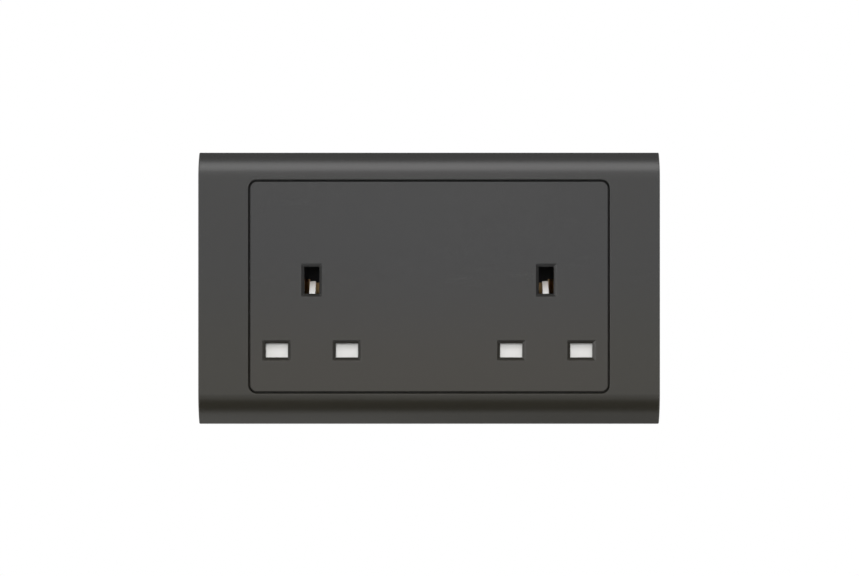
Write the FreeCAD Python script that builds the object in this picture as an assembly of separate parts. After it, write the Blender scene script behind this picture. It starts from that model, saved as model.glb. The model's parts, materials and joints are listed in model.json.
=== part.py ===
import FreeCAD, Part
import math
import os

# Twin wall socket for plugs with three flat pins. Millimetres.
# X runs right and Z up as seen from the room, and the front faces -Y.
# The wall is the plane Y = 0, and the origin lies midway between the two fixing screws.

os.makedirs("parts", exist_ok=True)
V = FreeCAD.Vector

# Plug pins, after the standard
pin_side = 11.1
pin_rise = 22.2
flat_pin_w = 6.35
flat_pin_h = 4.0
flat_pin_length = 17.7
earth_pin_length = 22.7

# Outlets
outlet_spacing = 74.2
line_z = -19.65
outlet_half = outlet_spacing / 2
earth_z = line_z + pin_rise
outlet_x = {"left": -outlet_half, "right": outlet_half}

# Panel set into the frame
room_beside = 19.51
room_above = 31.225
room_below = 13.075
panel_w = outlet_spacing + 2 * room_beside
panel_top = earth_z + room_above
panel_bottom = line_z - room_below
panel_corner = 2.2
panel_thick = 3.0
edge_break = 0.25
skirt_inset = 1.2
skirt_wall = 1.6

# Frame round the panel
projection = 9.5
border_side = 16.39
border_top = 9.3
border_bottom = 10.325
panel_gap = 0.45
frame_wall = 2.0
roll_drop = 3.24
roll_land = 0.375
end_round = 0.4
collar_wall = 1.5
collar_depth = 4.4
lip_depth = 3.3
lip_gap = 0.15
plate_w = panel_w + 2 * border_side
plate_top = panel_top + border_top
plate_bottom = panel_bottom - border_bottom
front_y = -projection

# Pin apertures: inner width and height, and the 45 degree mouth
flat_hole = (7.05, 4.5)
earth_hole = (4.7, 8.5)
hole_chamfer = 1.0

# Layers behind the panel
shutter_thick = 1.8
shutter_front_gap = 0.3
shutter_back_gap = 0.4
panel_back = front_y + panel_thick
shutter_front = panel_back + shutter_front_gap
shutter_back = shutter_front + shutter_thick
deck_y = shutter_back + shutter_back_gap

# Pressed yoke between panel and base
yoke_thick = 1.2
yoke_stand_off = 1.0
yoke_end_margin = 7.0
yoke_long_margin = 6.0
yoke_corner = 3.0
yoke_foot_h = 56.0
skirt_land = 0.5
window_corner = 2.0
slot_width = 4.4
slot_length = 8.0
fixing_inset = 12.7
yoke_back = -yoke_stand_off
yoke_front = yoke_back - yoke_thick
yoke_half_w = plate_w / 2 - yoke_end_margin
yoke_top = plate_top - yoke_long_margin
yoke_bottom = plate_bottom + yoke_long_margin
fixing_x = plate_w / 2 - fixing_inset
window_inset = skirt_inset + skirt_wall + skirt_land
window_half_w = panel_w / 2 - window_inset
window_top = panel_top - window_inset
window_bottom = panel_bottom + window_inset

# Snap clips of the frame
clip_x = 30.0
clip_w = 9.0
clip_thick = 1.2
clip_slack = 0.2
hook_reach = 0.9
hook_gap = 0.15
hook_thick = 0.35
clip_end_y = -0.2

# Base moulding
fit_gap = 0.4
flange_lip = 2.0
flange_thick = 2.0
body_corner = 1.5
post_r = 2.6
wall = 1.8
core_floor = 2.0
guide_wall = 1.2
guide_gap = 0.5
core_extra_floor = 2.5
body_half_w = window_half_w - fit_gap
body_top = window_top - fit_gap
body_bottom = window_bottom + fit_gap

# Brass strip, jaws and bars
strip = 0.8
bend_r = 0.7
jaw_gap = 3.6
jaw_mouth = 5.6
jaw_spread = 0.5
jaw_mouth_y = deck_y + 1.4
flat_jaw_w = 6.0
flat_throat_from_rear = 6.0
earth_jaw_h = 4.8
earth_jaw_below = 4.3
earth_throat_from_rear = 10.0
earth_web_h = 3.6
earth_arm_edge = 1.3
pin_end_room = 0.4
brass_room = 0.3
bar_depth = 5.4
bar_above_line = 6.5
bar_above_earth = 9.3
flat_rear = front_y + flat_pin_length + pin_end_room + strip
earth_rear = front_y + earth_pin_length + pin_end_room + strip
bar_half = strip / 2
slot_half = bar_half + brass_room
live_bar_z = body_bottom + wall + slot_half
neutral_bar_z = line_z + bar_above_line
earth_bar_z = earth_z + bar_above_earth
outlet_back = earth_rear + wall
chamber_half = jaw_mouth / 2 + strip + brass_room
flat_chamber_half_w = flat_jaw_w / 2 + brass_room

# Terminals
terminal_x = 10.5
terminal_w = 8.0
terminal_h = 9.0
terminal_deep = 9.0
terminal_from_rear = 1.0
terminal_from_bar = 1.0
terminal_cover = 2.6
terminal_edge = 0.4
tab_w = 7.0
bore_r = 2.1
bore_from_front = 3.6
wire_way_half = 2.9
terminal_front = flat_rear - terminal_from_rear
terminal_back = terminal_front + terminal_deep + terminal_cover
bore_y = terminal_front + bore_from_front
terminal_zone_half = terminal_x + terminal_w / 2 + brass_room + wall

# Screws
clamp_screw_r = 1.75
clamp_screw_length = 5.2
clamp_screw_back_off = 0.2
clamp_recess = 1.2
thread_clearance = 0.05
driver_slot = 0.8
fixing_screw_r = 1.75
fixing_neck_r = 1.4
fixing_head_r = 3.3
fixing_head_h = 2.2
fixing_reach = 25.0
fixing_neck_end = -0.5
joining_screw_r = 1.25
joining_head_r = 2.5
joining_head_h = 1.7
joining_recess = 7.2
joining_skin = 1.2
joining_from_outlet = 6.9
joining_from_top = 6.5
joining_below_line = 1.5
screw_gap = 0.35
joining_seat_y = outlet_back - joining_recess
upper_joining_x = outlet_half + joining_from_outlet
upper_joining_z = body_top - joining_from_top
lower_joining_z = line_z - joining_below_line
joining_places = {
    "upper_left": (-upper_joining_x, upper_joining_z),
    "upper_right": (upper_joining_x, upper_joining_z),
    "lower_middle": (0.0, lower_joining_z),
}

# Shutter: blade over the flat pins, legs, head, and ramp under the earth pin
blade_cover = 0.5
leg_w = 3.0
leg_gap = 0.425
head_h = 2.3
head_gap = 0.2
ramp_w = 1.9
ramp_depth = 4.2
ramp_gap = 0.4
open_gap = 0.25
blade_top = line_z + flat_hole[1] / 2 + blade_cover
blade_bottom = line_z - flat_hole[1] / 2 - blade_cover
blade_half_w = pin_side + flat_hole[0] / 2 + blade_cover
leg_outer = pin_side - flat_pin_w / 2 - leg_gap
leg_inner = leg_outer - leg_w
head_top = earth_z - earth_hole[1] / 2 - head_gap
head_bottom = head_top - head_h
shutter_travel = blade_top - line_z + flat_pin_h / 2 + open_gap

# Shutter spring
spring_room = 10.5
spring_mean_r = 1.7
spring_wire_half = 0.25
spring_turns = 6
spring_steps = 10
spring_gap = 0.05
spring_way_gap = 0.3
spring_behind_shutter = 0.2
seat_from_leg = 1.9
seat_from_blade = 0.1
spring_y = shutter_back + spring_behind_shutter
spring_seat_z = head_bottom - spring_room
seat_half_w = leg_inner - seat_from_leg

# Earth link and its rivet
link_w = 6.0
link_thick = 0.5
link_y = 6.4
link_foot = 2.0
link_bend_drop = 3.4
link_above_rivet = 1.7
link_bend_z = body_top - link_bend_drop
rivet_r = 1.25
rivet_head_r = 1.9
rivet_head_h = 0.45
rivet_gap = 0.25
rivet_z = panel_top - skirt_inset + rivet_head_r + rivet_gap
link_top = rivet_z + link_above_rivet

# How far a cut or a fused piece runs past the face it meets
over = 1.0


# Shapes
def block(x, y, z):
    """A box between two values of X, of Y and of Z, in either order."""
    low = V(min(x), min(y), min(z))
    return Part.makeBox(max(x) - low.x, max(y) - low.y, max(z) - low.z, low)


def rod_y(x, z, radius, y0, y1):
    return Part.makeCylinder(radius, y1 - y0, V(x, y0, z), V(0, 1, 0))


def rod_z(x, y, radius, z0, z1):
    return Part.makeCylinder(radius, z1 - z0, V(x, y, z0), V(0, 0, 1))


def prism_x(points, x0, width):
    """A prism along X on an outline of (y, z) points."""
    ring = [V(x0, y, z) for y, z in points]
    return Part.Face(Part.makePolygon(ring + ring[:1])).extrude(V(width, 0, 0))


def slab(x, y, z, corner):
    """A block whose four edges along Y are rounded."""
    body = block(x, y, z)
    along_y = [e for e in body.Edges if abs(e.tangentAt(e.FirstParameter).y) > 0.99]
    return body.makeFillet(corner, along_y)


def both(value):
    return (-value, value)


def fuse(shapes):
    return shapes[0].multiFuse(shapes[1:]).removeSplitter()


def cut(shape, tools):
    return shape.cut(tools).removeSplitter()


def save(name, shape):
    """Writes one piece, which has to be a single sound solid."""
    solids = shape.Solids
    if len(solids) != 1 or not solids[0].isValid():
        raise ValueError("%s is not one sound solid" % name)
    solids[0].exportStep("parts/" + name + ".step")


# Frame
def rolled_block(inset, back_y):
    """The plate's outer form, drawn along X: flat in front and rolled off at top and bottom."""
    face_y = front_y + inset

    def roll(end_z, flat_z):
        """Middle and end point of the roll from the flat to the plate's edge."""
        side = 1 if end_z > flat_z else -1
        run = abs(end_z - flat_z)
        radius = (run ** 2 + roll_drop ** 2) / (2 * roll_drop) - inset
        sweep = math.asin((run - inset) / radius)
        return [V(0, face_y + radius * (1 - math.cos(a)), flat_z + side * radius * math.sin(a))
                for a in (sweep / 2, sweep)]

    flat_top = V(0, face_y, panel_top + panel_gap + roll_land)
    flat_bottom = V(0, face_y, panel_bottom - panel_gap - roll_land)
    top_middle, top_end = roll(plate_top, flat_top.z)
    bottom_middle, bottom_end = roll(plate_bottom, flat_bottom.z)
    top_back = V(0, back_y, top_end.z)
    bottom_back = V(0, back_y, bottom_end.z)
    outline = Part.Wire([
        Part.makeLine(bottom_back, bottom_end),
        Part.Arc(bottom_end, bottom_middle, flat_bottom).toShape(),
        Part.makeLine(flat_bottom, flat_top),
        Part.Arc(flat_top, top_middle, top_end).toShape(),
        Part.makeLine(top_end, top_back),
        Part.makeLine(top_back, bottom_back),
    ])
    half_w = plate_w / 2 - inset
    body = Part.Face(outline).extrude(V(2 * half_w, 0, 0))
    return body.translated(V(-half_w, 0, 0))


def snap_clip(x, edge_z, side):
    """A springy tongue from the front wall, whose hook catches behind the yoke's long edge."""
    inner = edge_z + side * clip_slack
    hook_y = yoke_back + hook_gap
    outline = [
        (front_y + frame_wall, inner),
        (hook_y, inner),
        (hook_y, inner - side * hook_reach),
        (hook_y + hook_thick, inner - side * hook_reach),
        (clip_end_y, inner),
        (clip_end_y, inner + side * clip_thick),
        (front_y + frame_wall, inner + side * clip_thick),
    ]
    return prism_x(outline, x - clip_w / 2, clip_w)


def make_surround():
    outer = rolled_block(0.0, 0.0)
    flat_zs = (panel_top + panel_gap + roll_land, panel_bottom - panel_gap - roll_land)

    def is_outer_edge(edge):
        """Every edge in front of the rim, but not the two where a roll runs into the flat."""
        box = edge.BoundBox
        on_roll_start = box.YLength < 0.001 and any(abs(edge.CenterOfMass.z - z) < 0.001 for z in flat_zs)
        return box.YMin < -0.001 and not on_roll_start

    outer = outer.makeFillet(end_round, [e for e in outer.Edges if is_outer_edge(e)])
    inner = rolled_block(frame_wall, over)
    x = both(panel_w / 2 + panel_gap)
    z = (panel_bottom - panel_gap, panel_top + panel_gap)
    corner = panel_corner + panel_gap
    collar = slab(both(x[1] + collar_wall), (front_y + frame_wall / 2, front_y + collar_depth),
                  (z[0] - collar_wall, z[1] + collar_wall), corner + collar_wall)
    opening = slab(x, (front_y - over, front_y + lip_depth), z, corner)
    passage = slab(both(panel_w / 2 + lip_gap), (front_y, over), (panel_bottom - lip_gap, panel_top + lip_gap),
                   panel_corner + lip_gap)
    clips = [snap_clip(s * clip_x, edge_z, side)
             for s in (-1, 1) for edge_z, side in ((yoke_top, 1), (yoke_bottom, -1))]
    shell = cut(fuse([outer.cut(inner), collar] + clips), [opening, passage])

    def is_rim(edge):
        box = edge.BoundBox
        in_opening = box.XMin > x[0] - 0.01 and box.XMax < x[1] + 0.01
        return abs(box.YMin - front_y) < 0.001 and box.YLength < 0.001 and in_opening \
            and box.ZMin > z[0] - 0.01 and box.ZMax < z[1] + 0.01

    return shell.makeChamfer(edge_break, [e for e in shell.Edges if is_rim(e)])


# Panel
def aperture(cx, cz, size):
    """A straight hole whose mouth opens out at 45 degrees."""
    half_w, half_h = size[0] / 2, size[1] / 2
    grow = hole_chamfer + over
    mouth = Part.makeWedge(-half_w - grow, front_y - over, -half_h - grow, -half_h, -half_w,
                           half_w + grow, front_y + hole_chamfer, half_h + grow, half_h, half_w)
    shaft = block(both(half_w), (front_y + hole_chamfer, 0.0), both(half_h))
    return mouth.fuse(shaft).translated(V(cx, 0, cz))


def pins():
    """Kind, x and z of each pin."""
    for cx in outlet_x.values():
        yield "neutral", cx - pin_side, line_z
        yield "live", cx + pin_side, line_z
        yield "earth", cx, earth_z


def make_panel():
    face = slab(both(panel_w / 2), (front_y, panel_back), (panel_bottom, panel_top), panel_corner)
    face = face.makeChamfer(edge_break, [e for e in face.Edges if e.BoundBox.YMax < front_y + 0.001])
    outer = skirt_inset
    inner = skirt_inset + skirt_wall
    skirt = slab(both(panel_w / 2 - outer), (panel_back - over, yoke_front),
                 (panel_bottom + outer, panel_top - outer), panel_corner)
    hollow = block(both(panel_w / 2 - inner), (panel_back, 0.0), (panel_bottom + inner, panel_top - inner))
    posts = [rod_y(x, z, post_r, panel_back - over, deck_y) for x, z in joining_places.values()]
    body = fuse([face, skirt.cut(hollow)] + posts)
    holes = [aperture(x, z, earth_hole if kind == "earth" else flat_hole) for kind, x, z in pins()]
    pilots = [rod_y(x, z, joining_screw_r, front_y + joining_skin, 0.0) for x, z in joining_places.values()]
    return cut(body, holes + pilots)


# Yoke
def make_yoke():
    plate = slab(both(yoke_half_w), (yoke_front, yoke_back), (yoke_bottom, yoke_top), yoke_corner)
    feet = [block((s * yoke_half_w, s * (yoke_half_w - yoke_thick)), (yoke_front, 0.0), both(yoke_foot_h / 2))
            for s in (-1, 1)]
    through = (yoke_front - over, over)
    window = slab(both(window_half_w), through, (window_bottom, window_top), window_corner)
    slots = []
    for s in (-1, 1):
        middle = slot_length / 2 - slot_width / 2
        x = s * fixing_x
        slots.append(block((x - middle, x + middle), through, both(slot_width / 2)))
        slots += [rod_y(x + e * middle, 0.0, slot_width / 2, *through) for e in (-1, 1)]
    return cut(fuse([plate] + feet), [window, rod_y(0.0, rivet_z, rivet_r, *through)] + slots)


# Base moulding
def shutter_guides(cx):
    """A seat under the spring and a rib outside each leg."""
    y = (shutter_front, deck_y + over)
    rib = leg_outer + guide_gap
    ribs = [block((cx + s * rib, cx + s * (rib + guide_wall)), y, (spring_seat_z, head_bottom)) for s in (-1, 1)]
    return ribs + [block((cx - seat_half_w, cx + seat_half_w), y, (blade_top + seat_from_blade, spring_seat_z))]


def contact_chamber(kind, x, z):
    """Room for one jaw and its arm, open to the front."""
    front = deck_y - over
    if kind == "live":
        return block((x - flat_chamber_half_w, x + flat_chamber_half_w), (front, flat_rear + brass_room),
                     (live_bar_z - slot_half, z + chamber_half))
    if kind == "neutral":
        return block((x - flat_chamber_half_w, x + flat_chamber_half_w), (front, flat_rear + brass_room),
                     (z - chamber_half, neutral_bar_z + slot_half))
    return block((x - chamber_half, x + chamber_half), (front, earth_rear + brass_room),
                 (z - earth_jaw_below - brass_room, earth_bar_z + slot_half))


def shutter_ways(cx):
    """Room behind the deck for the ramp and for the spring."""
    way = ramp_w / 2 + ramp_gap
    ramp_way = block((cx - way, cx + way), (deck_y - over, shutter_front + ramp_depth + ramp_gap),
                     (head_bottom - shutter_travel - ramp_gap, earth_z - earth_jaw_below))
    spring_way = rod_z(cx, spring_y, spring_mean_r + spring_wire_half + spring_way_gap, spring_seat_z, head_top)
    return [ramp_way, spring_way]


def rear_cores(side):
    """Blind hollows in the rear of one outlet's side, which keep the moulding's walls even."""
    inner = terminal_zone_half + wall
    outer = body_half_w - wall
    chamber = chamber_half + wall
    middle_z = (neutral_bar_z + slot_half + wall, earth_bar_z - slot_half - wall)
    upper_z = (earth_bar_z + slot_half + wall, body_top - wall)
    lower_z = (line_z - chamber_half, line_z + chamber_half)
    upper_end = upper_joining_x - joining_head_r - screw_gap - wall
    deep = core_floor + core_extra_floor
    spans = [
        ((outlet_half + chamber, outer), core_floor, middle_z),
        ((inner, outlet_half - chamber), core_floor, middle_z),
        ((inner, upper_end), core_floor, upper_z),
        ((outlet_half - chamber, outlet_half + chamber), deep, lower_z),
    ]
    return [block((side * x[0], side * x[1]), (y, outlet_back + over), z) for x, y, z in spans]


def make_base():
    body = slab(both(body_half_w), (deck_y, outlet_back), (body_bottom, body_top), body_corner)
    flange = slab(both(body_half_w + flange_lip), (yoke_back, yoke_back + flange_thick),
                  (body_bottom - flange_lip, body_top + flange_lip), body_corner)
    rear = block(both(terminal_zone_half), (outlet_back - over, terminal_back), (body_bottom, body_top))
    guides = [guide for cx in outlet_x.values() for guide in shutter_guides(cx)]
    base = fuse([body, flange, rear] + guides)

    hollows = [contact_chamber(*pin) for pin in pins()]
    hollows += [bar_way(kind) for kind in bars]
    hollows += [way for cx in outlet_x.values() for way in shutter_ways(cx)]
    hollows += [pocket for terminal in terminals for pocket in terminal_pockets(*terminal)]
    hollows += [core for side in (-1, 1) for core in rear_cores(side)]
    hollows += link_way()
    for x, z in joining_places.values():
        hollows.append(rod_y(x, z, joining_screw_r + screw_gap, deck_y - over, joining_seat_y + over))
        hollows.append(rod_y(x, z, joining_head_r + screw_gap, joining_seat_y, terminal_back + over))
    return cut(base, hollows)


# Bars: ends along X, height, rear face and front edge
bars = {
    "live": (-outlet_half + pin_side, outlet_half + pin_side, live_bar_z, flat_rear, flat_rear - bar_depth),
    "neutral": (-outlet_half - pin_side, outlet_half - pin_side, neutral_bar_z, flat_rear, flat_rear - bar_depth),
    "earth": (-outlet_half, outlet_half, earth_bar_z, earth_rear, terminal_front - strip),
}

# Terminals: name, x, kind of bar, which side of the bar the block is on, and where its wires come from
terminals = [
    ("live_terminal", terminal_x, "live", 1, -1),
    ("neutral_terminal", -terminal_x, "neutral", -1, -1),
    ("earth_terminal_left", -terminal_x, "earth", 1, 1),
    ("earth_terminal_right", terminal_x, "earth", 1, 1),
]


def bar_way(kind):
    x0, x1, z, rear, front = bars[kind]
    return block((x0 - flat_chamber_half_w, x1 + flat_chamber_half_w), (deck_y - over, rear + brass_room),
                 (z - slot_half, z + slot_half))


def terminal_span(kind, side):
    """The block's ends in Z, the one next to its bar first."""
    near = bars[kind][2] + side * (bar_half + terminal_from_bar)
    return near, near + side * terminal_h


def terminal_pockets(name, x, kind, side, way):
    """Pocket for the block, open to the rear, the slot for its tab, and the way in for wires."""
    near, far = terminal_span(kind, side)
    low, high = min(near, far), max(near, far)
    half = terminal_w / 2 + brass_room
    tab_half = tab_w / 2 + brass_room
    rear = terminal_back + over
    bar_z = bars[kind][2]
    return [
        block((x - half, x + half), (terminal_front - brass_room, rear), (low - brass_room, high + brass_room)),
        block((x - tab_half, x + tab_half), (deck_y - over, terminal_front),
              (bar_z - side * slot_half, far + side * brass_room)),
        block((x - wire_way_half, x + wire_way_half), (bore_y - wire_way_half, rear),
              (high, body_top + over) if way > 0 else (body_bottom - over, low)),
    ]


def folded(line, thick):
    """Outline of a strip that is bent along a line of (depth, offset) points, with mitred bends."""
    def unit_normal(a, b):
        length = math.hypot(b[0] - a[0], b[1] - a[1])
        return (a[1] - b[1]) / length, (b[0] - a[0]) / length

    normals = [unit_normal(a, b) for a, b in zip(line, line[1:])]
    near, far = [], []
    for i, (depth, offset) in enumerate(line):
        before = normals[max(i - 1, 0)]
        after = normals[min(i, len(normals) - 1)]
        mid = (before[0] + after[0], before[1] + after[1])
        scale = thick / 2 / (mid[0] * before[0] + mid[1] * before[1])
        near.append((depth + mid[0] * scale, offset + mid[1] * scale))
        far.append((depth - mid[0] * scale, offset - mid[1] * scale))
    return near + far[::-1]


def jaw_outline(rear, throat_from_rear):
    """Two leaves from a rear web, which close to the jaw gap and flare at the mouth."""
    web = rear - strip / 2
    throat = jaw_gap / 2 + strip / 2
    mouth = jaw_mouth / 2 + strip / 2
    leaf = [(jaw_mouth_y, mouth), (web - throat_from_rear, throat), (web, throat + jaw_spread)]
    return folded(leaf + [(depth, -offset) for depth, offset in leaf[::-1]], strip)


def round_bends(solid, along, rear):
    """Rounds the outside of the two bends at the rear web."""
    bends = [e for e in solid.Edges
             if abs(abs(e.tangentAt(e.FirstParameter).dot(along)) - 1) < 0.001 and abs(e.CenterOfMass.y - rear) < 0.01]
    return solid.makeFillet(bend_r, bends)


def flat_jaw(cx):
    """Contact for a flat pin, pressing on its top and bottom."""
    outline = [(y, line_z + z) for y, z in jaw_outline(flat_rear, flat_throat_from_rear)]
    return round_bends(prism_x(outline, cx - flat_jaw_w / 2, flat_jaw_w), V(1, 0, 0), flat_rear)


def earth_jaw(cx):
    """Contact for the earth pin, pressing on its sides along the lower half."""
    low = earth_z - earth_jaw_below
    ring = [V(cx + x, y, low) for y, x in jaw_outline(earth_rear, earth_throat_from_rear)]
    solid = Part.Face(Part.makePolygon(ring + ring[:1])).extrude(V(0, 0, earth_jaw_h))
    window = block((cx - jaw_gap / 2, cx + jaw_gap / 2), (earth_rear - 2 * strip, earth_rear + over),
                   (low + earth_web_h, low + earth_jaw_h + over))
    return round_bends(solid, V(0, 0, 1), earth_rear).cut(window)


def make_busbar(kind):
    """A bar with a jaw at each end and a tab for each of its terminals."""
    x0, x1, z, rear, front = bars[kind]
    if kind == "earth":
        jaw, half = earth_jaw, jaw_gap / 2 + jaw_spread + strip
        arms = [(x0 + earth_arm_edge, x0 + half), (x1 - half, x1 - earth_arm_edge)]
        root_z = earth_z - earth_jaw_below
    else:
        jaw, half = flat_jaw, flat_jaw_w / 2
        arms = [(x0 - half, x0 + half), (x1 - half, x1 + half)]
        root_z = line_z
    away = 1 if z > root_z else -1
    pieces = [jaw(x0), jaw(x1), block((x0 - half, x1 + half), (front, rear), (z - bar_half, z + bar_half))]
    pieces += [block(arm, (rear - strip, rear), (root_z, z + away * bar_half)) for arm in arms]
    for name, x, bar, side, way in terminals:
        if bar == kind:
            near, far = terminal_span(kind, side)
            pieces.append(block((x - tab_w / 2, x + tab_w / 2), (terminal_front - strip, terminal_front),
                                (z - side * bar_half, far - side * brass_room)))
    return fuse(pieces)


def make_terminal(x, kind, side):
    ends = terminal_span(kind, side)
    body = block((x - terminal_w / 2, x + terminal_w / 2), (terminal_front, terminal_front + terminal_deep), ends)
    body = body.makeChamfer(terminal_edge, [e for e in body.Edges if e.BoundBox.ZLength > terminal_edge])
    bore = rod_z(x, bore_y, bore_r, min(ends) - over, max(ends) + over)
    thread = rod_y(x, sum(ends) / 2, clamp_screw_r + thread_clearance, bore_y, terminal_front + terminal_deep + over)
    return body.cut([bore, thread])


# Screws
def driver_recess(x, z, radius, y, depth):
    return block((x - radius, x + radius), (y - depth, y + depth), (z - driver_slot / 2, z + driver_slot / 2))


def make_clamp_screw(x, kind, side):
    """Headless screw, backed out so that the wire bore is clear."""
    z = sum(terminal_span(kind, side)) / 2
    tip = bore_y + bore_r + clamp_screw_back_off
    end = tip + clamp_screw_length
    return rod_y(x, z, clamp_screw_r, tip, end).cut(driver_recess(x, z, clamp_screw_r, end, clamp_recess))


def make_fixing_screw(x):
    top = yoke_front - fixing_head_h
    head = rod_y(x, 0.0, fixing_head_r, top, yoke_front)
    neck = rod_y(x, 0.0, fixing_neck_r, yoke_front, fixing_neck_end)
    shank = rod_y(x, 0.0, fixing_screw_r, fixing_neck_end, fixing_reach)
    return fuse([head, neck, shank]).cut(driver_recess(x, 0.0, fixing_head_r, top, fixing_head_h / 2))


def make_joining_screw(x, z):
    end = joining_seat_y + joining_head_h
    head = rod_y(x, z, joining_head_r, joining_seat_y, end)
    shank = rod_y(x, z, joining_screw_r, front_y + joining_skin + screw_gap, joining_seat_y)
    return fuse([head, shank]).cut(driver_recess(x, z, joining_head_r, end, joining_head_h / 2))


# Earth link
def make_link():
    """A strap that rises from the earth bar and folds out behind the yoke."""
    x = both(link_w / 2)
    foot_z = earth_bar_z + bar_half
    foot_end = terminal_front - strip + link_foot
    strap = [
        block(x, (link_y - link_thick, foot_end), (foot_z, foot_z + link_thick)),
        block(x, (link_y - link_thick, link_y), (foot_z, link_bend_z)),
        block(x, (yoke_back, link_y), (link_bend_z - link_thick, link_bend_z)),
        block(x, (yoke_back, yoke_back + link_thick), (link_bend_z - link_thick, link_top)),
    ]
    return fuse(strap).cut(rod_y(0.0, rivet_z, rivet_r, yoke_back - over, over))


def link_way():
    x = both(link_w / 2 + brass_room)
    foot_end = terminal_front - strip + link_foot
    return [
        block(x, (deck_y - over, foot_end + brass_room), (earth_bar_z - slot_half, link_bend_z + brass_room)),
        block(x, (deck_y - over, yoke_back + link_thick + brass_room), (link_bend_z - link_thick, body_top + 2 * flange_lip)),
    ]


def make_rivet():
    link_back = yoke_back + link_thick
    return fuse([
        rod_y(0.0, rivet_z, rivet_r, yoke_front, link_back),
        rod_y(0.0, rivet_z, rivet_head_r, yoke_front - rivet_head_h, yoke_front),
        rod_y(0.0, rivet_z, rivet_head_r, link_back, link_back + rivet_head_h),
    ])


# Shutters and their springs
def make_shutter(cx):
    y = (shutter_front, shutter_back)
    ramp_back = shutter_front + ramp_depth
    head = block((cx - leg_outer, cx + leg_outer), y, (head_bottom, head_top))
    blade = block((cx - blade_half_w, cx + blade_half_w), y, (blade_bottom, blade_top))
    legs = [block((cx + s * leg_inner, cx + s * leg_outer), y, (blade_bottom, head_top)) for s in (-1, 1)]
    ramp = prism_x([(shutter_front, head_top), (ramp_back, head_top + ramp_depth),
                    (ramp_back, head_bottom), (shutter_front, head_bottom)], cx - ramp_w / 2, ramp_w)
    return fuse([head, blade, ramp] + legs)


def make_spring(cx):
    """Square wire wound in short straight runs, from the seat up to the shutter's head."""
    low = spring_seat_z + spring_gap + spring_wire_half
    high = head_bottom - spring_gap - spring_wire_half
    count = spring_turns * spring_steps
    line = []
    for i in range(count + 1):
        angle = 2 * math.pi * i / spring_steps
        line.append(V(spring_mean_r * math.cos(angle), spring_mean_r * math.sin(angle), (high - low) * i / count))
    corners = ((-1, -1), (1, -1), (1, 1), (-1, 1), (-1, -1))
    section = Part.makePolygon([V(spring_mean_r + a * spring_wire_half, 0, b * spring_wire_half) for a, b in corners])
    sweep = Part.BRepOffsetAPI.MakePipeShell(Part.Wire(Part.makePolygon(line)))
    sweep.setTransitionMode(1)
    sweep.add(Part.Wire(section))
    sweep.build()
    sweep.makeSolid()
    return sweep.shape().translated(V(cx, spring_y, low))


save("surround", make_surround())
save("socket_panel", make_panel())
save("mounting_yoke", make_yoke())
save("base_moulding", make_base())
for side, cx in outlet_x.items():
    save("shutter_" + side, make_shutter(cx))
    save("shutter_spring_" + side, make_spring(cx))
for kind in bars:
    save(kind + "_busbar", make_busbar(kind))
for name, x, kind, side, way in terminals:
    save(name, make_terminal(x, kind, side))
    save(name + "_screw", make_clamp_screw(x, kind, side))
save("earth_link", make_link())
save("earth_rivet", make_rivet())
for side, x in (("left", -fixing_x), ("right", fixing_x)):
    save("fixing_screw_" + side, make_fixing_screw(x))
for place, (x, z) in joining_places.items():
    save("joining_screw_" + place, make_joining_screw(x, z))
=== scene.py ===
import json
import math

import bmesh
import bpy
from mathutils import Matrix, Vector


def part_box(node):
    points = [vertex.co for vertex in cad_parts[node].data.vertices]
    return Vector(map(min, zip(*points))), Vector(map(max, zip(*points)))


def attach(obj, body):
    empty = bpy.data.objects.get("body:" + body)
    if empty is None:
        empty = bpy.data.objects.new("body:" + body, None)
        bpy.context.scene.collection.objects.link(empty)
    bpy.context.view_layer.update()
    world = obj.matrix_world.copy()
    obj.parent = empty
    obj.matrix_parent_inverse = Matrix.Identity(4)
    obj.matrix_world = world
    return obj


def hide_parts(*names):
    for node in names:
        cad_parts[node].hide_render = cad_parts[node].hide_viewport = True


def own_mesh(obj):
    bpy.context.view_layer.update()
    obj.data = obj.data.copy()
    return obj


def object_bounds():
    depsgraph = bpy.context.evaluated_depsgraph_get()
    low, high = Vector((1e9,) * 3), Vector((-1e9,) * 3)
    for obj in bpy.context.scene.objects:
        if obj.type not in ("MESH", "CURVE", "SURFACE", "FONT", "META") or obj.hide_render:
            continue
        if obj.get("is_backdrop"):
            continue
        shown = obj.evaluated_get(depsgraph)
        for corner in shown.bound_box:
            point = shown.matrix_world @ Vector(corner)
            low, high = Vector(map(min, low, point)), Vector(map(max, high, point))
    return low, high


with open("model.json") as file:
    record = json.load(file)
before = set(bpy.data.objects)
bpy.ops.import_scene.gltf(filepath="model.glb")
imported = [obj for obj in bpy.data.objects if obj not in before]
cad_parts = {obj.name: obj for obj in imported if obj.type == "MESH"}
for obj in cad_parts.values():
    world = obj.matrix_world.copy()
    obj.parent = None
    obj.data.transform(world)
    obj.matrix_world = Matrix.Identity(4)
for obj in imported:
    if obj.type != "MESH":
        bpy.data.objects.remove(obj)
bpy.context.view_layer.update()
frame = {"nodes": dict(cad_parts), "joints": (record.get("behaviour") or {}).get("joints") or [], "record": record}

MM = 0.001
scene = bpy.context.scene


# Material maths
class Value:
    """A number, colour or vector inside a material, which plain arithmetic can combine."""

    def __init__(self, nodes, socket):
        self.nodes = nodes
        self.socket = socket

    def maths(self, operation, *values):
        return self.nodes.node("ShaderNodeMath", {"operation": operation}, dict(enumerate(values)))

    def __add__(self, other):
        return self.maths("ADD", self, other)

    def __sub__(self, other):
        return self.maths("SUBTRACT", self, other)

    def __rsub__(self, other):
        return self.maths("SUBTRACT", other, self)

    def __mul__(self, other):
        return self.maths("MULTIPLY", self, other)

    __radd__ = __add__
    __rmul__ = __mul__


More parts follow.
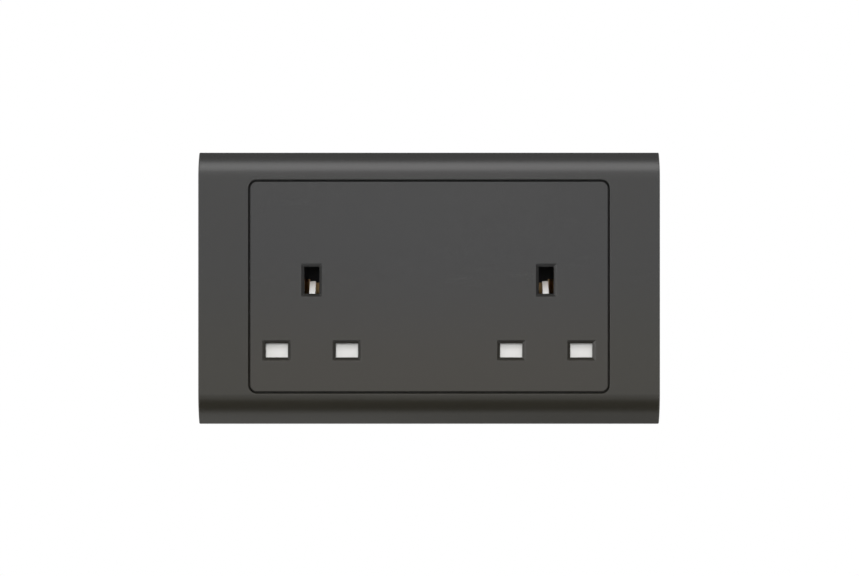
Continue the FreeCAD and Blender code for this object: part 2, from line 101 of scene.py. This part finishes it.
class Nodes:
    """The nodes of one material, or of the world."""

    def __init__(self, tree):
        self.tree = tree
        tree.nodes.clear()

    def node(self, kind, settings=None, values=None, out=0):
        """Any node: its settings, and a value or a link for each socket, by name or number."""
        made = self.tree.nodes.new(kind)
        for key, value in (settings or {}).items():
            setattr(made, key, value)
        for key, value in (values or {}).items():
            if isinstance(value, Value):
                self.tree.links.new(value.socket, made.inputs[key])
            else:
                made.inputs[key].default_value = value
        return Value(self, made.outputs[out]) if made.outputs else None

    def place(self, stretch=(1, 1, 1)):
        """The point on the object, in metres, with each axis scaled."""
        at = self.node("ShaderNodeTexCoord", out="Object")
        return self.node("ShaderNodeVectorMath", {"operation": "MULTIPLY"}, {0: at, 1: stretch})

    def along(self, axis):
        """How far along one axis of the object the point is, in metres."""
        return self.node("ShaderNodeSeparateXYZ", None, {0: self.place()}, out=axis)

    def noise(self, scale, detail=2.0, stretch=(1, 1, 1), roughness=0.5):
        return self.node("ShaderNodeTexNoise", {"noise_dimensions": "3D"},
                         {"Vector": self.place(stretch), "Scale": scale,
                          "Detail": detail, "Roughness": roughness})

    def ramp(self, value, low, high, to_low=0.0, to_high=1.0):
        """A smooth step between two ends."""
        return self.node("ShaderNodeMapRange", {"interpolation_type": "SMOOTHSTEP"},
                         {"Value": value, "From Min": low, "From Max": high,
                          "To Min": to_low, "To Max": to_high})

    def blend(self, first, second, share):
        """From one colour to another by a share."""
        def full(colour):
            return colour if isinstance(colour, Value) else (*colour, 1.0)
        return self.node("ShaderNodeMix", {"data_type": "RGBA"},
                         {"Factor": share, 6: full(first), 7: full(second)}, out=2)

    def shaded(self, colour, amount):
        """A colour made lighter or darker by an amount near 1."""
        return self.node("ShaderNodeVectorMath", {"operation": "SCALE"},
                         {0: colour, "Scale": amount})

    def soft_edges(self, radius):
        """The surface's direction with rounded edges, and how near to an edge each point is."""
        soft = self.node("ShaderNodeBevel", {"samples": 6}, {"Radius": radius})
        plain = self.node("ShaderNodeNewGeometry", out="Normal")
        same = self.node("ShaderNodeVectorMath", {"operation": "DOT_PRODUCT"},
                         {0: soft, 1: plain}, out="Value")
        return soft, self.ramp(1 - same, 0.01, 0.25)

    def bump(self, height, distance, strength, normal=None):
        values = {"Height": height, "Distance": distance, "Strength": strength}
        if normal is not None:
            values["Normal"] = normal
        return self.node("ShaderNodeBump", None, values)

    def shown(self):
        """1 where something is looked at or seen in a reflection, and 0 where it only lights."""
        ways = ("Is Camera Ray", "Is Glossy Ray", "Is Transmission Ray")
        camera, glossy, through = (self.node("ShaderNodeLightPath", out=way) for way in ways)
        return self.ramp(camera + glossy + through, 0.0, 1.0)

    def surface(self, **values):
        """The finished surface. Names are the shader's own, with _ for a space."""
        sockets = {name.replace("_", " "): value for name, value in values.items()}
        shader = self.node("ShaderNodeBsdfPrincipled", None, sockets)
        self.node("ShaderNodeOutputMaterial", None, {"Surface": shader})


def material(name):
    made = bpy.data.materials.new(name)
    made.use_nodes = True
    return made, Nodes(made.node_tree)


# Materials
def graphite_plastic(name, painted_light_low, painted_light_high):
    """Satin graphite moulding with painted light: lighter and warmer low down, darker and cooler higher up. A
    little polished along its edges.
    """
    made, n = material(name)
    soft, edge = n.soft_edges(0.2 * MM)
    cloud = n.noise(28, detail=3)
    grain = n.noise(4200)
    wipes = n.noise(70, detail=3, stretch=(0.25, 1, 1))
    # Painted light and shade: the colour goes from the lower to the upper colour with height
    painted_light_height = n.along("Z") + n.noise(16, detail=1) * 0.012
    colour = n.blend(painted_light_low, painted_light_high, n.ramp(painted_light_height, -0.024, 0.018))
    colour = n.shaded(colour, 0.93 + cloud * 0.10 + grain * 0.06)
    n.surface(Base_Color=n.blend(colour, (0.036, 0.035, 0.034), edge * 0.5),
              Roughness=0.225 + wipes * 0.045 + grain * 0.03 - edge * 0.04,
              IOR=1.60,
              Normal=n.bump(grain, 0.0035 * MM, 0.6, soft))
    return made


def white_plastic(ramp_front, ramp_depth):
    """Plain white moulding with faint flow marks, and painted shade that greys the ramp towards its deep back end.
    """
    made, n = material("white_plastic")
    soft, edge = n.soft_edges(0.15 * MM)
    grain = n.noise(3600)
    flow = n.noise(220, detail=3, stretch=(1, 1, 0.3))
    # Painted shade: the ramp darkens towards its back, deep in the hole
    painted_ramp_shade = n.ramp(n.along("Y"), ramp_front + 0.06 * ramp_depth, ramp_front + ramp_depth)
    colour = n.blend((0.80, 0.795, 0.775), (0.76, 0.755, 0.73), n.ramp(flow, 0.35, 0.75))
    colour = n.blend(colour, (0.55, 0.52, 0.485), painted_ramp_shade)
    n.surface(Base_Color=n.shaded(colour, 1.0 - edge * 0.04),
              Roughness=0.36 + flow * 0.10,
              IOR=1.49,
              Normal=n.bump(grain + flow * 0.6, 0.004 * MM, 0.5, soft))
    return made


def black_plastic():
    """Black thermoset with a cloudy skin and a little dust, duller where the mould was worn."""
    made, n = material("black_plastic")
    soft, edge = n.soft_edges(0.2 * MM)
    skin = n.noise(260, detail=4)
    fibre = n.noise(2400, detail=3, stretch=(1, 0.4, 1))
    dust = n.ramp(n.noise(900, detail=5, roughness=0.7), 0.62, 0.80)
    colour = n.blend((0.0065, 0.0065, 0.0068), (0.011, 0.011, 0.0115), n.ramp(skin, 0.4, 0.7))
    n.surface(Base_Color=n.blend(colour, (0.040, 0.038, 0.036), dust * 0.2 + edge * 0.3),
              Roughness=0.44 + skin * 0.20 + dust * 0.12 - edge * 0.04,
              IOR=1.52,
              Normal=n.bump(fibre + skin * 1.5, 0.010 * MM, 0.6, soft))
    return made


def rolled_brass(name, bright, dull, painted_edge_highlight):
    """Brass strip and bar with rolling lines, a light tarnish and a painted highlight along the edges."""
    made, n = material(name)
    soft, edge = n.soft_edges(0.12 * MM)
    lines = n.noise(900, detail=3, stretch=(0.05, 1, 1))
    tarnish = n.ramp(n.noise(190, detail=4, roughness=0.65), 0.42, 0.72)
    colour = n.blend(bright, dull, tarnish * 0.8)
    # Painted highlight: the edges are blended towards a lighter brass
    n.surface(Base_Color=n.blend(colour, (0.80, 0.62, 0.34), edge * painted_edge_highlight),
              Metallic=1.0,
              Roughness=0.24 + lines * 0.12 + tarnish * 0.16 - edge * 0.06,
              Normal=n.bump(lines, 0.010 * MM, 0.5, soft))
    return made


def turned_brass():
    """Brass blocks sawn from bar: brighter, with saw lines across."""
    made, n = material("turned_brass")
    soft, edge = n.soft_edges(0.12 * MM)
    saw = n.noise(1500, stretch=(1, 1, 0.04))
    stain = n.ramp(n.noise(320, detail=4), 0.45, 0.75)
    colour = n.blend((0.86, 0.64, 0.30), (0.66, 0.44, 0.19), stain * 0.7)
    n.surface(Base_Color=n.blend(colour, (0.94, 0.78, 0.46), edge * 0.6),
              Metallic=1.0,
              Roughness=0.20 + saw * 0.14 + stain * 0.12,
              Normal=n.bump(saw, 0.012 * MM, 0.6, soft))
    return made


def zinc_plate():
    """Pressed steel with a clear zinc finish: cool grey with a faint yellow bloom."""
    made, n = material("zinc_plate")
    soft, edge = n.soft_edges(0.2 * MM)
    bloom = n.ramp(n.noise(60, detail=4), 0.40, 0.68)
    flakes = n.node("ShaderNodeTexVoronoi", {"feature": "F1"},
                    {"Vector": n.place(), "Scale": 1400.0}, out="Color")
    flake = n.node("ShaderNodeSeparateColor", None, {"Color": flakes})
    lines = n.noise(700, detail=3, stretch=(0.08, 1, 1))
    colour = n.blend((0.60, 0.61, 0.63), (0.66, 0.62, 0.52), bloom * 0.6)
    colour = n.shaded(colour, 0.92 + flake * 0.14)
    n.surface(Base_Color=n.blend(colour, (0.78, 0.78, 0.78), edge * 0.5),
              Metallic=1.0,
              Roughness=0.30 + flake * 0.10 + lines * 0.08 - edge * 0.08,
              Normal=n.bump(flake + lines, 0.004 * MM, 0.5, soft))
    return made


def screw_steel():
    """Bright plated screw with fine turning marks round its axis."""
    made, n = material("screw_steel")
    marks = n.noise(2600, stretch=(0.15, 1, 0.15))
    dull = n.ramp(n.noise(420, detail=4), 0.45, 0.75)
    n.surface(Base_Color=n.blend((0.70, 0.69, 0.66), (0.50, 0.48, 0.44), dull * 0.6),
              Metallic=1.0,
              Roughness=0.18 + marks * 0.10 + dull * 0.16,
              Normal=n.bump(marks, 0.006 * MM, 0.5))
    return made


def spring_wire():
    """Drawn wire with long fine lines."""
    made, n = material("spring_wire")
    lines = n.noise(3000, stretch=(1, 1, 0.3))
    dull = n.noise(500, detail=3)
    n.surface(Base_Color=n.blend((0.62, 0.62, 0.62), (0.40, 0.39, 0.37), dull),
              Metallic=1.0,
              Roughness=0.22 + lines * 0.14,
              Normal=n.bump(lines, 0.004 * MM, 0.5))
    return made


terminals = ("live_terminal", "neutral_terminal", "earth_terminal_left", "earth_terminal_right")
ramp_front, ramp_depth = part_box("shutter_left")[0].y, 4.2 * MM
# Painted light: each graphite pair is a lighter, warmer lower colour and a darker, cooler upper colour
panel_painted_light_low, panel_painted_light_high = (0.0235, 0.0208, 0.0155), (0.0184, 0.0184, 0.0185)
frame_painted_light_low, frame_painted_light_high = (0.0196, 0.0178, 0.0126), (0.0168, 0.0166, 0.0158)
clean_brass, dull_brass = (0.62, 0.44, 0.21), (0.40, 0.26, 0.11)
# The earth bar's brass pair is a darker copy of the brass: painted shade for the bar deep in the holes
painted_shade_brass, painted_deep_shade_brass = (0.52, 0.36, 0.18), (0.34, 0.21, 0.09)

finishes = {
    "graphite_plastic": graphite_plastic("graphite_plastic", panel_painted_light_low, panel_painted_light_high),
    "white_plastic": white_plastic(ramp_front, ramp_depth),
    "black_plastic": black_plastic(),
    "brass": rolled_brass("rolled_brass", clean_brass, dull_brass, painted_edge_highlight=0.3),
    "plated_steel": zinc_plate(),
    "screw_steel": screw_steel(),
    "spring_steel": spring_wire(),
}
own_finishes = {
    "surround": graphite_plastic("frame_graphite", frame_painted_light_low, frame_painted_light_high),
    # The earth bar takes the darker brass: painted shade, besides the light tarnish all brass has
    "earth_busbar": rolled_brass("brass_with_painted_shade", painted_shade_brass, painted_deep_shade_brass, painted_edge_highlight=0.0),
    **dict.fromkeys(terminals, turned_brass()),
}

for subpart in frame["record"]["subparts"]:
    node = frame["nodes"][subpart["node"]]
    finish = own_finishes.get(subpart["node"], finishes[subpart["material_slot"]])
    node.data.materials.clear()
    node.data.materials.append(finish)


# Meshes
def new_mesh(name, points, faces):
    mesh = bpy.data.meshes.new(name)
    mesh.from_pydata(points, [], faces)
    return mesh


def add_object(name, data):
    made = bpy.data.objects.new(name, data)
    scene.collection.objects.link(made)
    return made


class Shape:
    """Points and faces of one added piece, in millimetres."""

    def __init__(self):
        self.points = []
        self.faces = []

    def grid(self, rows):
        """A skin over closed rings of equally many points, closed at both ends."""
        first = len(self.points)
        count = len(rows[0])
        for row in rows:
            self.points += row
        for r in range(len(rows) - 1):
            for i in range(count):
                a = first + r * count + i
                b = first + r * count + (i + 1) % count
                self.faces.append((a, b, b + count, a + count))
        last = first + (len(rows) - 1) * count
        self.faces.append(tuple(range(first + count - 1, first - 1, -1)))
        self.faces.append(tuple(range(last, last + count)))
        return self

    def block(self, low, high):
        """A box between two corners."""
        (x0, y0, z0), (x1, y1, z1) = low, high
        corners = ((x0, y0), (x1, y0), (x1, y1), (x0, y1))
        return self.grid([[(x, y, z) for x, y in corners] for z in (z0, z1)])

    def in_metres(self):
        return [tuple(c * MM for c in p) for p in self.points]

    def piece(self, name, body, slot_name, smooth_deg=None):
        """One added piece, which rides its body and takes the finish of its slot."""
        made = add_object(name, new_mesh(name, self.in_metres(), self.faces))
        made.data.materials.append(finishes[slot_name])
        settle(made, smooth_deg)
        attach(made, body)
        return made


def settle(made, smooth_deg):
    """Faces point outwards, and edges flatter than the angle are shaded smooth."""
    work = bmesh.new()
    work.from_mesh(made.data)
    bmesh.ops.recalc_face_normals(work, faces=work.faces)
    if smooth_deg:
        for face in work.faces:
            face.smooth = True
        for edge in work.edges:
            if len(edge.link_faces) == 2 and edge.calc_face_angle(0.0) > math.radians(smooth_deg):
                edge.smooth = False
    work.to_mesh(made.data)
    work.free()


def cut_by(made, cutters):
    """Cuts the cutters out of a piece for good, and removes them."""
    for cutter in cutters:
        step = made.modifiers.new("cut", "BOOLEAN")
        step.operation = "DIFFERENCE"
        step.solver = "EXACT"
        step.object = cutter
    depsgraph = bpy.context.evaluated_depsgraph_get()
    mesh = bpy.data.meshes.new_from_object(made.evaluated_get(depsgraph))
    made.modifiers.clear()
    made.data = mesh
    for cutter in cutters:
        bpy.data.objects.remove(cutter)


def join_in(made, shape):
    """Adds another closed shape to a piece's mesh."""
    points = [tuple(v.co) for v in made.data.vertices]
    faces = [tuple(p.vertices) for p in made.data.polygons]
    base = len(points)
    faces += [tuple(i + base for i in f) for f in shape.faces]
    made.data = new_mesh(made.name, points + shape.in_metres(), faces)


def ring(x, y, z, radii):
    """Points round a line along Y, one for each radius."""
    turns = [2 * math.pi * k / len(radii) for k in range(len(radii))]
    return [(x + r * math.cos(turn), y, z + r * math.sin(turn)) for r, turn in zip(radii, turns)]


def turned(x, z, profile, around=48):
    """The rings of a turned form along Y, from a profile of (y, radius)."""
    return [ring(x, y, z, [r] * around) for y, r in profile]


def centre_of(node):
    low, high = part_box(node)
    return (low + high) / 2 / MM


# Screws
screw_smooth_deg = 40


def threaded_rod(x, z, stations, pitch, around=28, steps=7):
    """A rod along Y through stations of (y, radius, thread depth), threaded between them."""
    rows = []
    for start, end in zip(stations, stations[1:]):
        (y0, r0, d0), (y1, r1, d1) = start, end
        count = max(1, round(abs(y1 - y0) / pitch * steps)) if d0 or d1 else 1
        closing = 1 if end == stations[-1] else 0
        for i in range(count + closing):
            t = i / count
            y, r, d = y0 + (y1 - y0) * t, r0 + (r1 - r0) * t, d0 + (d1 - d0) * t
            phases = [(y / pitch - k / around) % 1 for k in range(around)]
            rows.append(ring(x, y, z, [r - d * abs(2 * phase - 1) for phase in phases]))
    return Shape().grid(rows)


def slot_cutter(x, z, y0, y1, half_length, half_width, turn_deg):
    """A bar across a screw's head, turned about the screw."""
    bar = Shape().block((-half_length, y0, -half_width), (half_length, y1, half_width))
    made = add_object("cutter", new_mesh("cutter", bar.in_metres(), bar.faces))
    turn = Matrix.Rotation(math.radians(turn_deg), 4, "Y")
    made.matrix_world = Matrix.Translation(Vector((x, 0, z)) * MM) @ turn
    return made


def screw(node, body, head, stations, pitch, slot, slot_turns=(0,)):
    """A threaded screw that stands for a plain one, with its slot or cross cut in."""
    where = centre_of(node)
    thread = threaded_rod(where.x, where.z, stations, pitch)
    first = Shape().grid(turned(where.x, where.z, head)) if head else thread
    made = first.piece(node + "_threaded", body, "screw_steel", screw_smooth_deg)
    cut_by(made, [slot_cutter(where.x, where.z, *slot, turn) for turn in slot_turns])
    if head:
        join_in(made, thread)
    settle(made, screw_smooth_deg)
    made.data.materials.clear()
    made.data.materials.append(finishes["screw_steel"])
    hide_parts(node)


def ends_of(node):
    """Where a screw starts and ends along Y, in millimetres."""
    low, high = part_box(node)
    return low.y / MM, high.y / MM


for side in ("left", "right"):
    node = "fixing_screw_" + side
    top, end = ends_of(node)
    under_head, head_r, core_r, thread_r = -2.2, 3.3, 1.4, 1.75
    head = [(under_head, head_r - 0.25), (under_head + 0.02, head_r), (top + 0.45, head_r),
            (top + 0.15, 3.15), (top, 2.7)]
    stations = [(under_head, core_r, 0), (-0.6, core_r, 0), (-0.3, thread_r, 0.28),
                (end - 0.6, thread_r, 0.3), (end, 1.35, 0.0)]
    screw(node, "socket", head, stations, 0.6, slot=(top - 0.5, top + 1.1, 4.0, 0.4))

for name in terminals:
    node = name + "_screw"
    tip, end = ends_of(node)
    thread_r = 1.75
    stations = [(tip, 1.25, 0), (tip + 0.45, thread_r, 0.2),
                (end - 0.2, thread_r, 0.25), (end, 1.55, 0.0)]
    screw(node, node, None, stations, 0.6, slot=(end - 1.2, end + 0.5, 2.2, 0.4))

for place in ("upper_left", "upper_right", "lower_middle"):
    node = "joining_screw_" + place
    tip, top = ends_of(node)
    seat, head_r, shank_r, thread_r = top - 1.7, 2.5, 1.1, 1.25
    head = [(seat, head_r - 0.1), (seat + 0.05, head_r), (top - 0.5, head_r),
            (top - 0.12, 2.25), (top, 1.7)]
    stations = [(tip, 0.75, 0), (tip + 1.0, thread_r, 0.3), (seat - 1.2, thread_r, 0.32),
                (seat - 0.6, shank_r, 0), (seat, shank_r, 0)]
    screw(node, "socket", head, stations, 1.0,
          slot=(top - 1.1, top + 0.5, 1.45, 0.28), slot_turns=(45, -45))


# Shutter springs
def coil(name, side):
    """A round-wire spring on the plain coil's path."""
    node = "shutter_spring_" + side
    joint = "shutter_%s_slide" % side
    low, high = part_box(node)
    centre = centre_of(node)
    wire_r, coil_r, turns = 0.25, 1.7, 6
    around, steps = 10, 30
    z0, z1 = low.z / MM + wire_r, high.z / MM - wire_r
    rows = []
    for i in range(turns * steps + 1):
        turn = 2 * math.pi * i / steps
        rise = (z1 - z0) * i / (turns * steps)
        out = Vector((math.cos(turn), math.sin(turn), 0))
        middle = Vector((centre.x, centre.y, z0 + rise)) + out * coil_r
        rows.append([tuple(middle + (out * math.cos(a) + Vector((0, 0, math.sin(a)))) * wire_r)
                     for a in (2 * math.pi * k / around for k in range(around))])
    made = Shape().grid(rows).piece(name, "socket", "spring_steel", smooth_deg=60)
    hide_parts(node)
    travel = next(j for j in frame["joints"] if j["name"] == joint)["range_m"][1]
    seat = low.z
    1 - travel / (high.z - seat)
    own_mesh(made)


for side in ("left", "right"):
    coil("wound_spring_" + side, side)


# Marks moulded on the rear, of straight strokes from point to point, as read from behind
def stroke(shape, x, z, a, b, width, y0, y1):
    """One raised bar between two points of a mark, given from its middle and read from behind."""
    start, end = Vector((x - a[0], z + a[1])), Vector((x - b[0], z + b[1]))
    along = (end - start).normalized() * width / 2
    across = Vector((-along.y, along.x))
    corners = [start - along + across, start - along - across,
               end + along - across, end + along + across]
    shape.grid([[(p.x, y, p.y) for p in corners] for y in (y0, y1)])


marks = {
    "N": [((-1.2, -1.7), (-1.2, 1.7)), ((-1.2, 1.7), (1.2, -1.7)), ((1.2, -1.7), (1.2, 1.7))],
    "L": [((-1.0, 1.7), (-1.0, -1.7)), ((-1.0, -1.7), (1.2, -1.7))],
    "earth": [((0.0, 2.0), (0.0, 0.3)), ((-1.7, 0.3), (1.7, 0.3)),
              ((-1.1, -0.6), (1.1, -0.6)), ((-0.5, -1.5), (0.5, -1.5))],
}
rear_y = 20.0
mark_height, mark_sunk, stroke_width = 0.34, 0.1, 0.55
mark_gap = 3.4

lettering = Shape()
for name, kind in zip(terminals, ("L", "N", "earth", "earth")):
    low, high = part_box(name)
    x = (low.x + high.x) / 2 / MM
    z = low.z / MM - mark_gap if kind == "earth" else high.z / MM + mark_gap
    for i, (a, b) in enumerate(marks[kind]):
        # Each stroke is a little lower than the one before, so that no two faces share a plane
        stroke(lettering, x, z, a, b, stroke_width,
               rear_y - mark_sunk - 0.02 * i, rear_y + mark_height - 0.015 * i)
lettering.piece("terminal_marks", "socket", "black_plastic")

flange_y, pin_mark_height = 16.1, 0.19
ejector_places = ((-49.5, 27.4, 1.3), (49.5, 27.4, 1.3), (-49.5, -26.3, 1.3), (49.5, -26.3, 1.3),
                  (-22.0, -26.6, 1.2), (22.0, -26.6, 1.2))
ejectors = Shape()
for x, z, r in ejector_places:
    rim = flange_y + pin_mark_height
    ejectors.grid(turned(x, z, [(flange_y, r), (rim - 0.03, r), (rim, r - 0.06)], 32))
ejectors.piece("ejector_pin_marks", "socket", "black_plastic", smooth_deg=40)


# Light and background
WHITE = (1, 1, 1, 1)

world = bpy.data.worlds.new("studio")
scene.world = world
world.use_nodes = True
sky = Nodes(world.node_tree)
background = sky.node("ShaderNodeBackground", None, {"Color": WHITE, "Strength": 1.0})
soft_fill = sky.node("ShaderNodeBackground", None, {"Color": WHITE, "Strength": 0.20})
both = sky.node("ShaderNodeMixShader", None, {0: sky.shown(), 1: soft_fill, 2: background})
sky.node("ShaderNodeOutputWorld", None, {"Surface": both})


def direction(azimuth, elevation):
    """From the object, with azimuth 0 towards the viewer and positive to the right."""
    a, e = math.radians(azimuth), math.radians(elevation)
    return Vector((math.sin(a) * math.cos(e), -math.cos(a) * math.cos(e), math.sin(e)))


def face_home(made, azimuth, elevation, distance):
    """Puts a lamp or card at a direction and distance, turned towards the object."""
    towards = direction(azimuth, elevation)
    made.location = towards * distance
    made.rotation_mode = "QUATERNION"
    made.rotation_quaternion = towards.to_track_quat("Z", "Y")


def softbox(name, azimuth, elevation, distance, width, height, radiance, polarised=False):
    """An area lamp. A polarised one lights without showing as a reflection."""
    lamp = bpy.data.lights.new(name, "AREA")
    lamp.shape = "RECTANGLE"
    lamp.size, lamp.size_y = width, height
    lamp.energy = radiance * math.pi * width * height
    made = add_object(name, lamp)
    face_home(made, azimuth, elevation, distance)
    made.visible_glossy = made.visible_camera = not polarised


softbox("key_softbox", 0, 41, 1.1, 0.9, 0.44, 1.74)
softbox("front_softbox", 0, 9.5, 1.1, 0.30, 0.30, 23.0, polarised=True)
softbox("top_softbox", 0, 36, 1.1, 0.40, 0.50, 4.6, polarised=True)
softbox("rear_softbox", 205, 35, 1.2, 1.0, 0.8, 1.6)
softbox("side_softbox", 114, 12, 1.2, 0.8, 0.8, 5.0, polarised=True)


def sheet(name, width, height, z=0.0):
    """A flat rectangle, in metres."""
    w, h = width / 2, height / 2
    corners = [(-w, -h, z), (w, -h, z), (w, h, z), (-w, h, z)]
    return add_object(name, new_mesh(name, corners, [(0, 1, 2, 3)]))


def card(name, azimuth, elevation, distance, width, height, glow=0.0):
    """A card of black felt, or of a plain glow, that only shows in reflections."""
    made = sheet(name, width, height)
    face_home(made, azimuth, elevation, distance)
    made.visible_camera = made.visible_diffuse = False
    made.visible_shadow = made.visible_transmission = False
    felt, n = material(name + "_felt")
    fluff = n.noise(300, detail=3)
    n.surface(Base_Color=n.blend((0.006, 0.006, 0.006), (0.012, 0.012, 0.012), fluff),
              Roughness=0.95,
              Specular_IOR_Level=0.0,
              Normal=n.bump(fluff, 0.2 * MM, 1.0),
              Emission_Color=WHITE,
              Emission_Strength=glow)
    made.data.materials.append(felt)
    made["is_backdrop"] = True


card("lower_card", 0, -30.5, 0.9, 0.78, 0.51)
card("upper_card", 0, 82, 0.9, 1.0, 0.9, glow=0.46)
card("left_card", -74, 0, 0.9, 0.28, 0.7, glow=2.6)
card("right_card", 84, 0, 0.9, 0.45, 0.7, glow=0.35)
card("low_right_card", 90, -68, 0.73, 1.2, 0.6, glow=0.6)


def pale_floor(size, depth):
    """A plain pale floor, well below the socket, which turns to plain white further out."""
    made = sheet("floor", size, size, -depth)
    paint, n = material("pale_floor_paint")
    colour = n.blend((0.86, 0.86, 0.855), (0.82, 0.82, 0.815), n.noise(9, detail=4))
    matt = n.node("ShaderNodeBsdfPrincipled", None,
                  {"Base Color": colour, "Roughness": 1.0,
                   "Diffuse Roughness": 0.6, "Specular IOR Level": 0.0})
    white = n.node("ShaderNodeEmission", None, {"Color": WHITE, "Strength": 1.0})
    away = n.node("ShaderNodeVectorMath", {"operation": "LENGTH"}, {0: n.place()}, out="Value")
    share = n.shown() * n.ramp(away, 0.9, 2.4, 0.94, 1.0)
    mixed = n.node("ShaderNodeMixShader", None, {0: share, 1: matt, 2: white})
    n.node("ShaderNodeOutputMaterial", None, {"Surface": mixed})
    made.data.materials.append(paint)
    made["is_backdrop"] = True


pale_floor(8.0, 0.8)

# Camera
lens = bpy.data.cameras.new("camera")
lens.sensor_width = 36.0
lens.lens = 86.2
camera = add_object("camera", lens)
camera.location = (0.000136, -0.6595, 0.00009)
camera.rotation_euler = (math.radians(90), 0, 0)
scene.camera = camera
scene.view_settings.view_transform = "Standard"

low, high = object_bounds()
